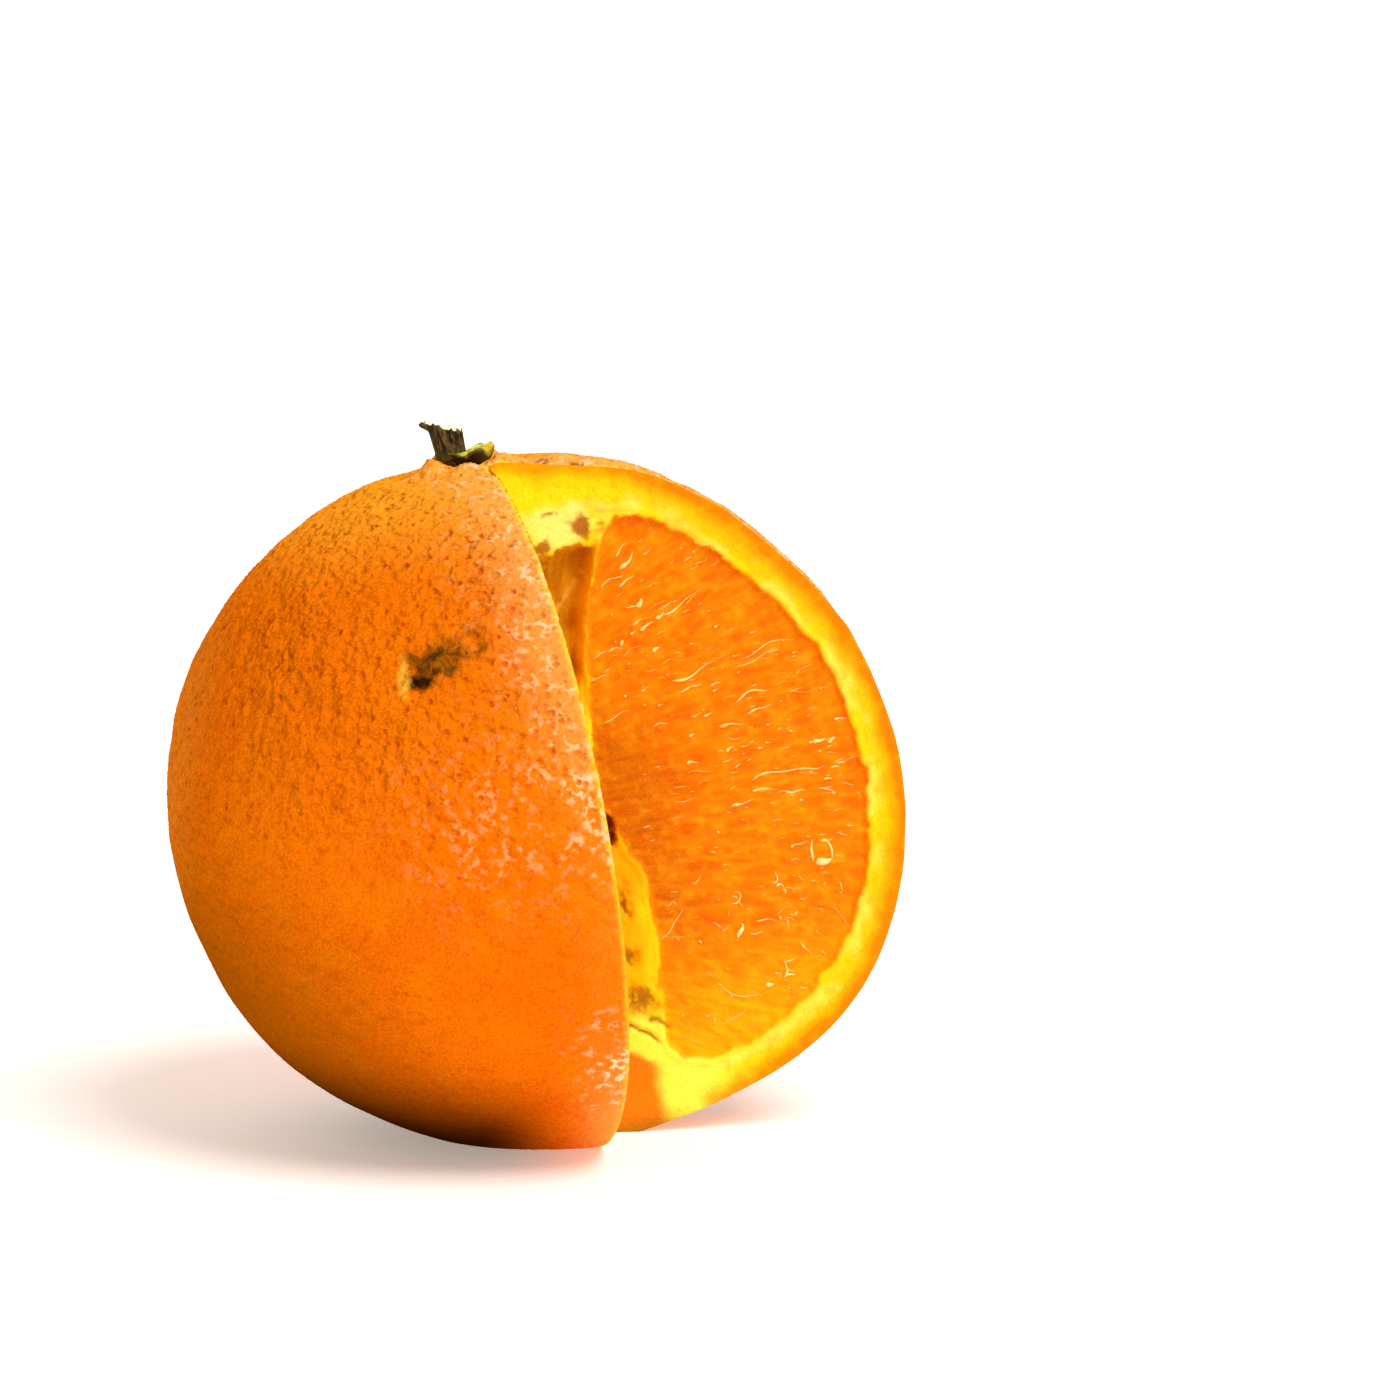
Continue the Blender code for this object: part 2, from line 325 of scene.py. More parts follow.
def directions(polar, azimuth):
    across = np.sin(polar)
    return np.stack([across * np.cos(azimuth), across * np.sin(azimuth), np.cos(polar)], axis=-1)


def collar_height(from_axis, azimuth):
    waves = 0.58 + 0.42 * np.cos(COLLAR_LOBES * (azimuth - COLLAR_TURN))
    waves = waves - COLLAR_SAG * bell(azimuth - COLLAR_LOW_SIDE, 1.2)
    ring = COLLAR_HEIGHT * waves * bell(from_axis - COLLAR_RADIUS, COLLAR_WIDTH)
    moat = MOAT_DEPTH * bell(from_axis - MOAT_RADIUS, MOAT_WIDTH)
    dimple = DIMPLE_DEPTH * bell(from_axis, DIMPLE_WIDTH)
    return ring - moat - dimple


def skin_radius(polar, azimuth):
    """Distance in mm from the fruit's middle to its skin in a direction."""
    up = np.cos(polar)
    across = np.sin(polar)
    stretch = 1.0 - STEM_END_FLATTENING * np.maximum(up, 0.0) ** 3
    stretch = stretch - BLOSSOM_END_FLATTENING * np.maximum(-up, 0.0) ** 3
    stretch = stretch + BACK_BULGE * across * np.sin(azimuth)
    stretch = stretch - 2.0 * LOW_RIGHT_BULGE * across * np.cos(azimuth) * up
    radius = RADIUS * stretch
    here = directions(polar, azimuth)
    for spot_polar, spot_azimuth, height, width in SPOTS:
        there = directions(math.radians(spot_polar), math.radians(spot_azimuth))
        away = np.linalg.norm(here - there, axis=-1)
        radius = radius + height * bell(RADIUS * away, width)
    return radius + np.where(up > 0.8, collar_height(RADIUS * across, azimuth), 0.0)


def far_cut():
    facing = np.array([math.sin(FAR_CUT_AZIMUTH), -math.cos(FAR_CUT_AZIMUTH), 0.0])
    return facing, FAR_CUT_OFFSET


def near_cut():
    facing = np.array([math.cos(NEAR_CUT_AZIMUTH), math.sin(NEAR_CUT_AZIMUTH), NEAR_CUT_SLANT])
    return facing / np.linalg.norm(facing), NEAR_CUT_OFFSET


def off_cut(points, cut):
    """Distance in mm in front of a cut, towards the notch."""
    facing, offset = cut
    return points @ facing - offset


def face_frame(cut, outward):
    """Origin, outward and upward directions on a cut face, and its facing."""
    facing, offset = cut
    sideways = outward - facing * outward.dot(facing)
    sideways = sideways / np.linalg.norm(sideways)
    upward = np.cross(facing, sideways)
    if upward[2] < 0.0:
        upward = -upward
    return facing * offset, sideways, upward, facing


def far_face_frame():
    outward = np.array([math.cos(FAR_CUT_AZIMUTH), math.sin(FAR_CUT_AZIMUTH), 0.0])
    return face_frame(far_cut(), outward)


def near_face_frame():
    outward = np.array([math.sin(NEAR_CUT_AZIMUTH), -math.cos(NEAR_CUT_AZIMUTH), 0.0])
    return face_frame(near_cut(), outward)


def lean_matrix():
    return np.array(Euler((LEAN_FORWARD, -LEAN_LEFT, 0.0)).to_matrix())


def leaned(points):
    """From the fruit's frame to the part's frame, in millimetres."""
    return points @ lean_matrix().T + CENTRE


def to_part_frame(points):
    """From millimetres in the fruit's frame to metres in the part's frame."""
    placed = leaned(points)
    placed[:, 2] = np.maximum(placed[:, 2], 0.0)
    return placed * MM


# Meshes

def new_object(name, data):
    thing = bpy.data.objects.new(name, data)
    bpy.context.scene.collection.objects.link(thing)
    return thing


def new_piece(name, points, triangles, colours, material, node, extras=None):
    """A smooth-shaded mesh piece with a colour, and any extra values, for each point."""
    mesh = bpy.data.meshes.new(name)
    mesh.from_pydata(points.tolist(), [], triangles.tolist())
    tint = mesh.color_attributes.new("tint", "FLOAT_COLOR", "POINT")
    rgba = np.column_stack([colours, np.ones(len(colours))]).astype(np.float32)
    tint.data.foreach_set("color", rgba.ravel())
    for key, values in (extras or {}).items():
        kind, field = ("FLOAT", "value") if values.ndim == 1 else ("FLOAT_VECTOR", "vector")
        extra = mesh.attributes.new(key, kind, "POINT")
        extra.data.foreach_set(field, values.astype(np.float32).ravel())
    mesh.shade_smooth()
    mesh.materials.append(material)
    piece = new_object(name, mesh)
    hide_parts(node)
    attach(piece, "root")
    return piece


def split_mesh(rows, triangles, values):
    """Cuts the triangles along the line where values is zero.

    rows holds x, y, z and any further numbers of each point.
    """
    values = np.where(np.abs(values) < CUT_SNAP, 0.0, values)
    side = np.sign(values)[triangles]
    crossing = (side.min(axis=1) < 0) & (side.max(axis=1) > 0)
    result = triangles[~crossing].tolist()
    added = []
    middles = {}

    def middle(a, b):
        key = (min(a, b), max(a, b))
        if key not in middles:
            share = values[a] / (values[a] - values[b])
            middles[key] = len(rows) + len(added)
            added.append(rows[a] + (rows[b] - rows[a]) * share)
        return middles[key]

    for corners in triangles[crossing]:
        signs = [int(np.sign(values[c])) for c in corners]
        if 0 in signs:
            turn = signs.index(0)
            a, b, c = (int(corners[(turn + k) % 3]) for k in range(3))
            m = middle(b, c)
            result += [[a, b, m], [a, m, c]]
        else:
            turn = next(k for k in range(3) if signs.count(signs[k]) == 1)
            a, b, c = (int(corners[(turn + k) % 3]) for k in range(3))
            p = middle(a, b)
            q = middle(a, c)
            result += [[a, p, q], [p, b, c], [p, c, q]]
    if added:
        rows = np.vstack([rows, np.array(added)])
    return rows, np.array(result)


def drop_unused(rows, triangles):
    used = np.unique(triangles)
    place = np.zeros(len(rows), dtype=int)
    place[used] = np.arange(len(used))
    return rows[used], place[triangles]


# Rind

def scattered_directions():
    """Pore centres: evenly spread over a ball, but irregular."""
    index = np.arange(PORE_COUNT) + 0.5
    up = 1.0 - 2.0 * index / PORE_COUNT
    azimuth = math.pi * (3.0 - math.sqrt(5.0)) * index
    points = directions(np.arccos(up), azimuth)
    spacing = math.sqrt(4.0 * math.pi / PORE_COUNT)
    rng = np.random.default_rng(11)
    points = points + rng.normal(0.0, PORE_JITTER * spacing, points.shape)
    return points / np.linalg.norm(points, axis=1)[:, None]


def hull_triangles(points):
    shape = bmesh.new()
    for point in points:
        shape.verts.new(point)
    bmesh.ops.convex_hull(shape, input=shape.verts)
    shape.verts.index_update()
    bmesh.ops.triangulate(shape, faces=shape.faces)
    triangles = [[corner.index for corner in face.verts] for face in shape.faces]
    shape.free()
    triangles = np.array(triangles)
    a, b, c = (points[triangles[:, k]] for k in range(3))
    inward = np.einsum("ij,ij->i", np.cross(b - a, c - a), a + b + c) < 0.0
    triangles[inward] = triangles[inward][:, ::-1]
    return triangles


def six_triangles(points, triangles):
    """Splits each triangle in six, with new points on its sides and in its middle."""
    pairs = np.sort(triangles[:, [[0, 1], [1, 2], [2, 0]]].reshape(-1, 2), axis=1)
    edges, which = np.unique(pairs, axis=0, return_inverse=True)
    which = which.reshape(-1, 3) + len(points)
    ridge = points[edges[:, 0]] + points[edges[:, 1]]
    peak = points[triangles].sum(axis=1)
    middle = np.arange(len(triangles)) + len(points) + len(edges)
    a, b, c = triangles.T
    ab, bc, ca = which.T
    ring = (a, ab, b, bc, c, ca)
    parts = [np.column_stack((ring[k], ring[(k + 1) % 6], middle)) for k in range(6)]
    points = np.vstack([points, ridge, peak])
    return points / np.linalg.norm(points, axis=1)[:, None], np.vstack(parts), edges


def rind_mesh():
    """Rows of x, y, z and pore strength, and the triangles."""
    pores = scattered_directions()
    points, triangles, edges = six_triangles(pores, hull_triangles(pores))
    polar = np.arccos(np.clip(points[:, 2], -1.0, 1.0))
    azimuth = np.arctan2(points[:, 1], points[:, 0])
    radius = skin_radius(polar, azimuth)
    smooth = points * radius[:, None]
    rng = np.random.default_rng(5)
    depth = np.clip(rng.normal(1.0, 0.45, len(pores)), 0.1, 2.0)
    pore = np.zeros(len(points))
    pore[:len(pores)] = depth
    ridges = slice(len(pores), len(pores) + len(edges))
    pore[ridges] = RIDGE_SHARE * depth[edges].mean(axis=1)
    peak = np.zeros(len(points))
    peak[ridges.stop:] = rng.uniform(0.3, 1.0, len(points) - ridges.stop)
    rough = rind_roughness(smooth)
    relief = (PEAK_HEIGHT * peak - PORE_DEPTH * pore) * rough
    relief += PEBBLE_HEIGHT * layered_noise(smooth, 2.6, 21, 2) * (rough - 0.2)
    relief += SWELL_HEIGHT * layered_noise(smooth, 8.0, 31, 2)
    relief -= top_rim_sink(smooth)
    placed = points * (radius + relief)[:, None]
    rows = np.column_stack([placed, pore])
    for cut in (far_cut(), near_cut()):
        rows, triangles = split_mesh(rows, triangles, off_cut(rows[:, :3], cut))
    middle = rows[triangles, :3].mean(axis=1)
    in_notch = (off_cut(middle, far_cut()) > 0.0) & (off_cut(middle, near_cut()) > 0.0)
    return drop_unused(rows, triangles[~in_notch])


def top_rim_sink(points):
    """How far the skin rounds off where the far cut meets the stem end."""
    edge = bell(off_cut(points, far_cut()), TOP_RIM_WIDTH)
    reach = points @ far_face_frame()[1]
    stretch = ramp(reach, 3.0, 6.0) * ramp(-reach, -22.0, -11.0)
    return TOP_RIM_SINK * edge * stretch * ramp(points[:, 2], 20.0, 30.0)


def rind_roughness(points):
    """Stronger pitting towards the stem end, smoother low down."""
    rough = 0.42 + 0.75 * ramp(points[:, 2], -10.0, 24.0)
    return rough * (0.85 + 0.3 * noise(points, 11.0, 41))


def cut_distance(points):
    """Distance in mm to the nearer edge of the notch, for points on the skin."""
    away = []
    for cut, other in ((near_cut(), far_cut()), (far_cut(), near_cut())):
        beyond = np.minimum(off_cut(points, other), 0.0)
        away.append(np.hypot(off_cut(points, cut), beyond))
    return np.minimum(*away)


def skin_place(points, polar, azimuth):
    """Sideways and upward millimetres from a place on the skin, for each point."""
    middle = directions(math.radians(polar), math.radians(azimuth))
    right = np.cross(np.array([0.0, 0.0, 1.0]), middle)
    right /= np.linalg.norm(right)
    up = np.cross(middle, right)
    behind = points @ middle < 0.0
    side, rise = points @ right, points @ up
    return np.where(behind, OUT_OF_REACH, side), np.where(behind, OUT_OF_REACH, rise)


def rind_colours(points):
    grade = points[:, 2]
    base = plain((250, 120, 5), len(points))
    base = mix(base, (242, 104, 3), 0.35 + 0.5 * layered_noise(points, 9.0, 51))
    base = mix(base, (250, 132, 3), 0.3 * ramp(noise(points, 3.2, 53), 0.0, 0.8))
    # Darker towards the stem end: painted shade of the deeper pits there
    top = ramp(grade, 0.0, 22.0)
    base = mix(base, (226, 102, 3), 0.8 * top)
    base = mix(base, (253, 158, 30), 0.7 * ramp(grade, 29.0, 39.0))
    edge = cut_distance(points)
    # Paler by the cut edges: painted sheen; the thin edge line is pith layer and painted highlight
    base = mix(base, (255, 176, 84), 0.5 * bell(edge, 4.5) * top)
    base = mix(base, (255, 146, 40), 0.18 * bell(edge, 4.0))
    base = mix(base, (255, 206, 40), 0.9 * bell(edge, 0.34))
    away = ramp(edge, 2.0, 14.0)
    towards = points @ lean_matrix().T
    towards /= np.linalg.norm(towards, axis=1)[:, None]
    # Painted shade on the lower left side, away from the cut edges
    shaded = ramp(towards @ np.array(SHADED_SIDE), 0.45, 1.0) * away
    base = mix(base, (138, 76, 2), 0.82 * shaded)
    # Painted pale rim light along the left edge
    rim_light = ramp(towards @ np.array(LEFT_RIM_LIGHT), 0.85, 1.0)
    base = mix(base, (240, 140, 36), 0.45 * rim_light)
    height = leaned(points)[:, 2]
    # Painted shade on the underside near the floor, away from the cut edges
    low = ramp(-height, -15.0, -1.0) * away
    base = mix(base, (34, 6, 1), 0.93 * low)
    # Painted highlight along the cut edge low down
    base = mix(base, (255, 172, 84), 0.55 * bell(edge, 3.4) * ramp(-height, -19.0, -6.0))
    return skin_marks(points, base)


def skin_marks(points, base):
    """The dark scar with its pale fold, and the brown marks behind the top rim."""
    side, up = skin_place(points, *SCAR)
    ragged = 1.2 * layered_noise(points, 1.3, 71, 3)
    scar = ramp(-np.hypot((side - 1.2) / 1.7, up - 0.5 - 0.15 * side) + ragged, -3.0, -1.2)
    base = mix(base, (140, 78, 6), 0.85 * scar)
    streak = ramp(layered_noise(points, 0.8, 81, 2), -0.5, 0.3)
    base = mix(base, (54, 30, 5), 0.82 * scar * streak)
    spot = ramp(-np.hypot((side + 0.9) * 0.8, (up + 1.7) * 1.3) + 0.4 * ragged, -1.7, -0.6)
    base = mix(base, (22, 10, 3), 0.95 * spot)
    fold = ramp(-np.hypot((side + 3.0) * 2.2, (up + 0.8) * 0.6) + 0.4 * ragged, -1.6, -0.5)
    base = mix(base, (250, 180, 50), 0.75 * fold)
    for polar, azimuth, size in TOP_MARKS:
        side, up = skin_place(points, polar, azimuth)
        mark = ramp(-np.hypot(side, up) + 0.9 * ragged, -size, -0.4 * size)
        base = mix(base, (128, 62, 14), 0.85 * mark)
    return base


def rind_shine(points):
    """How far the pale lit specks show: strongest beside the near cut."""
    near = bell(cut_distance(points), 6.0)
    upper = ramp(points[:, 2], -10.0, 6.0) * near
    side, up = skin_place(points, *LOW_SHEEN)
    low_patch = bell(np.hypot(side, 0.5 * up), 3.6)
    middle = bell(np.hypot(*skin_place(points, *MIDDLE_SHEEN)), 7.0)
    return np.clip(upper + 1.6 * low_patch + 0.45 * middle, 0.0, 1.6)


# Cut faces

def pulp_margin(along, up):
    """How far in mm a point of a cut face lies inside the pulp."""
    polar = np.arctan2(along, up)
    peel = PEEL_THICKNESS + PEEL_EXTRA_AT_ENDS * np.cos(polar) ** 4
    from_peel = skin_radius(polar, np.zeros_like(polar)) - peel - np.hypot(along, up)
    heights = [edge_up for edge_up, _ in PULP_INNER_EDGE]
    reaches = [edge_along for _, edge_along in PULP_INNER_EDGE]
    from_pith = along - np.interp(up, heights, reaches)
    corner = CORNER_ROUNDING - np.hypot(CORNER_ROUNDING - from_peel, CORNER_ROUNDING - from_pith)
    sharp = np.minimum(from_peel, from_pith)
    outside_corner = np.maximum(from_peel, from_pith) > CORNER_ROUNDING
    return np.where(outside_corner, sharp, corner)


def ragged_margin(along, up, seed):
    """pulp_margin with the uneven edge of a real fruit."""
    flat = pair(along, up)
    waves = 0.4 * layered_noise(flat, 3.0, seed + 40, 2) + 0.16 * noise(flat, 0.8, seed + 44)
    return pulp_margin(along, up) + waves


def pocket_inside(along, up):
    """How far in mm a point lies inside the three-sided pocket beside the core."""
    ragged = 0.5 * layered_noise(pair(along, up), 2.0, 91, 3)
    inside = np.full(len(along), OUT_OF_REACH)
    for k in range(3):
        x, y = POCKET_CORNERS[k]
        next_x, next_y = POCKET_CORNERS[(k + 1) % 3]
        length = math.hypot(next_x - x, next_y - y)
        across = ((next_x - x) * (up - y) - (next_y - y) * (along - x)) / length
        inside = np.minimum(inside, across + POCKET_RAGGED[k] * ragged)
    return inside


def hole_depth(along, up):
    """Depth of the small hole in the core below a point, and how near it is."""
    side = along - HOLE_MIDDLE[0]
    rise = up - HOLE_MIDDLE[1]
    across = side * math.cos(HOLE_TILT) - rise * math.sin(HOLE_TILT)
    length = side * math.sin(HOLE_TILT) + rise * math.cos(HOLE_TILT)
    reach = (across / HOLE_HALF_SIZE[0]) ** 2 + (length / HOLE_HALF_SIZE[1]) ** 2
    return HOLE_HALF_SIZE[2] * np.sqrt(np.clip(1.0 - reach, 0.0, 1.0)), reach


def juice_cells(along, up, seed):
    """Pillow height, 0 to 1, of the long juice sacs that run out from the core."""
    rng = np.random.default_rng(seed)
    reach, angle = fan_polar(along, up)
    seeds = []
    for ring in np.arange(SAC_NEAREST, SAC_FARTHEST, SAC_RING_STEP):
        count = int(2.0 * FAN_HALF_ANGLE * ring / SAC_WIDTH)
        for k in range(count):
            share = (k + rng.uniform(0.1, 0.9)) / count
            seed_angle = (2.0 * share - 1.0) * FAN_HALF_ANGLE
            seeds.append((ring + rng.uniform(-1.8, 1.8), seed_angle))
    nearest = second = np.full(len(along), OUT_OF_REACH)
    for seed_reach, seed_angle in seeds:
        away = np.hypot((reach - seed_reach) / SAC_LENGTH, (angle - seed_angle) * reach / SAC_WIDTH)
        second = np.minimum(second, np.maximum(nearest, away))
        nearest = np.minimum(nearest, away)
    return ramp(second - nearest, 0.0, 0.5)


def pulp_relief(along, up, seed):
    inside = ramp(ragged_margin(along, up, seed), -0.1, 0.5)
    flat = pair(along, up)
    cells = juice_cells(along, up, seed)
    surface = -PULP_DEPTH + 0.16 * cells + 0.12 * noise(flat, 3.0, seed + 3)
    surface = surface + 0.05 * noise(flat, 0.8, seed + 4)
    return inside * surface


def pith_relief(along, up, seed):
    margin = ragged_margin(along, up, seed)
    flat = pair(along, up)
    wall = 0.14 * bell(margin + 0.35, 0.4)
    crumbs = 0.08 * layered_noise(flat, 1.2, seed + 8, 2) + 0.1 * noise(flat, 3.5, seed + 7)
    return wall + crumbs * ramp(-margin, 0.0, 1.0)


def core_hairs(along, up):
    """0 to 1: hairy stains where the core was torn open."""
    flat = pair(along, up)
    hairs = layered_noise(flat * np.array([1.3, 0.8]), 0.9, 303, 3)
    stain = np.zeros(len(along))
    for x, y, wide, tall in CORE_STAINS:
        away = np.hypot((along - x) / wide, (up - y) / tall) + 0.6 * hairs
        stain = np.maximum(stain, ramp(-away, -1.15, -0.5))
    return stain * (0.45 + 0.55 * ramp(hairs, -0.6, 0.3))


def core_creases(along, up):
    """0 to 1: the folds that run down to the blossom end."""
    flat = pair(along, up)
    fold = np.zeros(len(along))
    for x, y, slope in CORE_CREASES:
        bend = 0.25 * (along - x) ** 2 + 0.2 * noise(flat, 1.2, 309)
        line = (up - y) + slope * (along - x) + bend
        fold = np.maximum(fold, bell(line, 0.32) * ramp(-np.abs(along - x), -1.5, -0.7))
    return fold


def core_relief(along, up):
    return -0.5 * core_hairs(along, up) - 0.5 * core_creases(along, up)


def face_relief(along, up, seed):
    return pulp_relief(along, up, seed) + pith_relief(along, up, seed) + core_relief(along, up)


def far_relief(along, up):
    pocket = POCKET_DEPTH * ramp(pocket_inside(along, up), 0.0, POCKET_WALL)
    hole, _ = hole_depth(along, up)
    return face_relief(along, up, FAR_SEED) - np.maximum(pocket, hole)


def near_relief(along, up):
    return face_relief(along, up, NEAR_SEED)


def peel_colours(along, up, seed):
    """Orange skin layer, then yellow, then a pale inner streak."""
    polar = np.arctan2(along, up)
    depth = skin_radius(polar, np.zeros_like(polar)) - np.hypot(along, up)
    flat = pair(along, up)
    depth = depth + 0.35 * layered_noise(flat, 2.0, seed + 300, 3)
    colour = plain((250, 146, 1), len(along))
    colour = mix(colour, (251, 180, 2), ramp(depth, 0.7, 1.5))
    colour = mix(colour, (252, 214, 10), ramp(depth, 1.4, 2.4))
    colour = mix(colour, (252, 224, 20), ramp(depth, 2.4, 3.6))
    margin = ragged_margin(along, up, seed)
    inner = bell(margin + 0.75 + 0.6 * noise(flat, 1.5, seed + 303), 0.8)
    streak = ramp(noise(flat, 3.0, seed + 301), -0.6, 0.1) * ramp(along, 10.0, 18.0)
    colour = mix(colour, (255, 240, 96), 0.9 * inner * streak)
    colour = mix(colour, (250, 186, 4), 0.4 * ramp(noise(flat, 1.0, seed + 305), 0.2, 0.8))
    deeper = np.array([1.0, 0.85, 0.6])
    return colour * deeper ** ramp(along, 12.0, 24.0)[:, None]


def pulp_colours(along, up, seed):
    flat = pair(along, up)
    reach = np.hypot(along - CORE_MIDDLE[0], up - CORE_MIDDLE[1])
    fan = fan_place(along, up) * np.array([0.4, 1.0, 1.0])
    colour = plain((246, 129, 1), len(along))
    colour = mix(colour, (240, 110, 1), 0.45 + 0.42 * noise(fan, 1.0, seed))
    colour = mix(colour, (252, 154, 8), 0.3 * ramp(noise(fan, 0.45, seed + 1), 0.1, 0.7))
    # Darker near the core: painted shade
    colour = mix(colour, (228, 128, 2), 0.75 * ramp(-along, -15.0, -8.5))
    colour = mix(colour, (196, 106, 2), 0.65 * ramp(-reach, -15.0, -4.0))
    # Yellower low down: painted light shining through the pulp
    colour = mix(colour, (252, 182, 2), 0.9 * ramp(-up, 16.0, 30.0))
    shadow = bell(np.hypot(along - 13.0, (up + 12.0) * 0.6), 3.8)
    colour = mix(colour, (198, 104, 4), 0.7 * shadow)
    cells = juice_cells(along, up, seed)
    colour = mix(colour, (254, 166, 12), 0.35 * (1.0 - cells) * ramp(reach, 6.0, 14.0))
    colour = mix(colour, (216, 96, 0), 0.25 * ramp(noise(flat, 2.6, seed + 5), 0.1, 0.7))
    return mix(colour, (255, 176, 12), 0.3 * ramp(noise(flat, 0.7, seed + 6), 0.25, 0.8))


def core_colours(along, up, colour, seed):
    """Pale pith near the stem, yellow column with brown hairs, and the navel."""
    flat = pair(along, up)
    clouds = layered_noise(flat, 2.2, 297, 3)
    top = ramp(-np.hypot((along - 8.6) / 1.8, up - 30.4) + 1.2 * clouds, -3.2, -1.6)
    colour = mix(colour, (254, 244, 124), 0.95 * top)
    fibres = noise(flat * np.array([0.7, 1.6]) + 0.5 * up[:, None], 0.8, 299)
    torn = bell(np.hypot((along - 12.8) * 0.75, up - 29.8), 2.0) * ramp(fibres, -0.3, 0.5)
    colour = mix(colour, (212, 138, 20), 0.75 * torn)
    column = ramp(-along, -12.0, -9.4) * ramp(-up, 0.0, 4.0)
    colour = mix(colour, (248, 169, 2), 0.9 * column)
    bright = column * ramp(-up + 1.5 * clouds, 11.0, 19.0)
    colour = mix(colour, (250, 186, 4), 0.85 * bright)
    border = bell(ragged_margin(along, up, seed) + 0.8, 0.7) * ramp(-up, 8.0, 13.0)
    colour = mix(colour, (254, 222, 16), 0.9 * border * ramp(-along, -14.0, -11.0))
    foot = ramp(-up + clouds, 23.0, 25.5) * ramp(-along, -13.0, -10.5)
    colour = mix(colour, (255, 244, 76), 0.9 * foot)
    corner = bell(np.hypot(along - 11.5, (up + 31.5) * 1.3) + 0.8 * clouds, 3.4)
    colour = mix(colour, (255, 246, 84), 0.8 * corner)
    navel = ramp(-up - 0.5 * (along - 4.0) + 0.5 * clouds, 27.2, 28.6)
    navel = navel * ramp(-along + 0.5 * clouds, -8.4, -6.4)
    colour = mix(colour, (226, 114, 2), 0.95 * navel)
    # Browner at the foot of the core: painted shade
    colour = mix(colour, (150, 96, 8), 0.7 * ramp(-up, 34.6, 37.0) * ramp(-along, -12.0, -7.0))
    colour = mix(colour, (150, 94, 12), 0.82 * core_hairs(along, up))
    return mix(colour, (178, 110, 10), 0.75 * core_creases(along, up))


def pocket_colours(along, up, colour):
    flat = pair(along, up)
    inside = pocket_inside(along, up)
    pocket = plain((246, 182, 14), len(along))
    pocket = mix(pocket, (212, 138, 5), 0.5 + 0.6 * layered_noise(flat, 2.5, 421))
    fibres = noise(pair(along * 2.2 - up * 0.8, up * 0.5), 1.0, 427)
    pocket = mix(pocket, (186, 112, 3), 0.5 * ramp(fibres, -0.2, 0.7))
    vein = bell((up - 22.7) - 1.0 * (along - 7.8), 0.5) * ramp(-np.abs(along - 7.8), -2.8, -1.6)
    pocket = mix(pocket, (255, 200, 70), 0.8 * vein * ramp(noise(flat, 0.7, 423), -0.6, 0.2))
    colour = mix(colour, pocket, ramp(inside, 0.0, 0.3))
    septum = bell(np.interp(up, [10.0, 17.0, 22.0, 28.0], [7.5, 8.3, 9.3, 12.1]) - along, 0.45)
    return mix(colour, (238, 148, 6), 0.9 * septum * ramp(-np.abs(up - 19.0), -10.0, -8.0))


def face_colours(along, up, seed):
    colour = core_colours(along, up, peel_colours(along, up, seed), seed)
    edge = ragged_margin(along, up, seed)
    return mix(colour, pulp_colours(along, up, seed), ramp(edge, -0.1, 0.14))


def far_colours(along, up):
    """The plain face with the pocket, the hole and the pits in the pith."""
    colour = pocket_colours(along, up, face_colours(along, up, FAR_SEED))
    flat = pair(along, up)
    _, reach = hole_depth(along, up)
    crack = reach + 0.7 * noise(flat, 0.7, 433)
    colour = mix(colour, (140, 66, 6), ramp(-crack, -1.1, -0.5))
    for x, y, wide, tall in PITH_PITS:
        away = np.hypot((along - x) / wide, (up - y) / tall)
        away = away + 0.6 * layered_noise(flat, 1.1, 435, 3)
        colour = mix(colour, (168, 88, 4), 0.9 * ramp(-away, -1.4, -0.6))
    return colour


def near_colours(along, up):
    return face_colours(along, up, NEAR_SEED)


def fan_polar(along, up):
    """Reach in mm from the middle of the fan, and angle in radians."""
    side = along - FAN_CENTRE[0]
    rise = up - FAN_CENTRE[1]
    return np.hypot(side, rise), np.arctan2(rise, side)


def fan_place(along, up):
    """Place in the fan of streaks that run outwards: across, outward, 0."""
    reach, angle = fan_polar(along, up)
    return np.column_stack([angle * STREAKS_ACROSS, reach / STREAK_LENGTH, np.zeros_like(reach)])


def notch_rims(rows, triangles):
    """The skin points along the two cut edges, each from the stem end down."""
    edges = {}
    for a, b, c in triangles.tolist():
        for start, end in ((a, b), (b, c), (c, a)):
            edges[(start, end)] = True
    follow = {a: b for a, b in edges if (b, a) not in edges}
    start = next(iter(follow))
    loop = [start]
    while follow[loop[-1]] != start:
        loop.append(follow[loop[-1]])
    worst = np.maximum(*(np.abs(off_cut(rows[loop, :3], cut)) for cut in (far_cut(), near_cut())))
    upper = rows[loop, 2] > 0.0
    top = int(np.argmin(np.where(upper, worst, OUT_OF_REACH)))
    bottom = int(np.argmin(np.where(upper, OUT_OF_REACH, worst)))
    loop = loop[top:] + loop[:top]
    split = (bottom - top) % len(loop)
    sides = [loop[:split + 1], [loop[0]] + loop[split:][::-1]]
    far, near = sorted(sides, key=lambda ids: np.abs(off_cut(rows[ids, :3], far_cut())).mean())
    return rows[far, :3], rows[near, :3]


